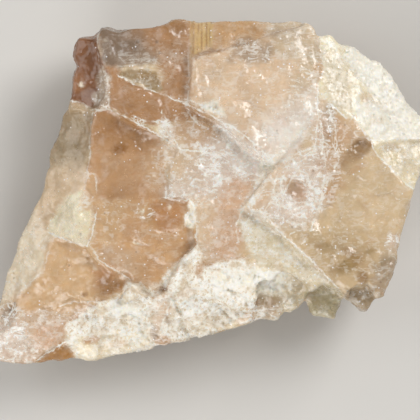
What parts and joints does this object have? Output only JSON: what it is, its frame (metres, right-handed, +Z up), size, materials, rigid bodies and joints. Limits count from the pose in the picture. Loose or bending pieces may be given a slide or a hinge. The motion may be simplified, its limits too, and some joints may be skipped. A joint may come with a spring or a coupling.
{
  "type": "morganite crystal",
  "caption": "Broken piece of peach-pink morganite crystal with flat cleaved panels, ledges and a ragged edge, lying on its flat back.",
  "frame": {"origin": "middle of the stone's box, on the surface that its flat back rests on", "axes": "+Z up, from the flat back to the broad broken face; +X along the longest extent, to the right of the picture; +Y to the picture's top"},
  "size_m": [0.0778, 0.0604, 0.0252],
  "materials": {
    "crystal": "glassy cleavage with frosted bruises"
  },
  "bodies": {
    "root": {"crystal": "crystal"}
  },
  "joints": []
}
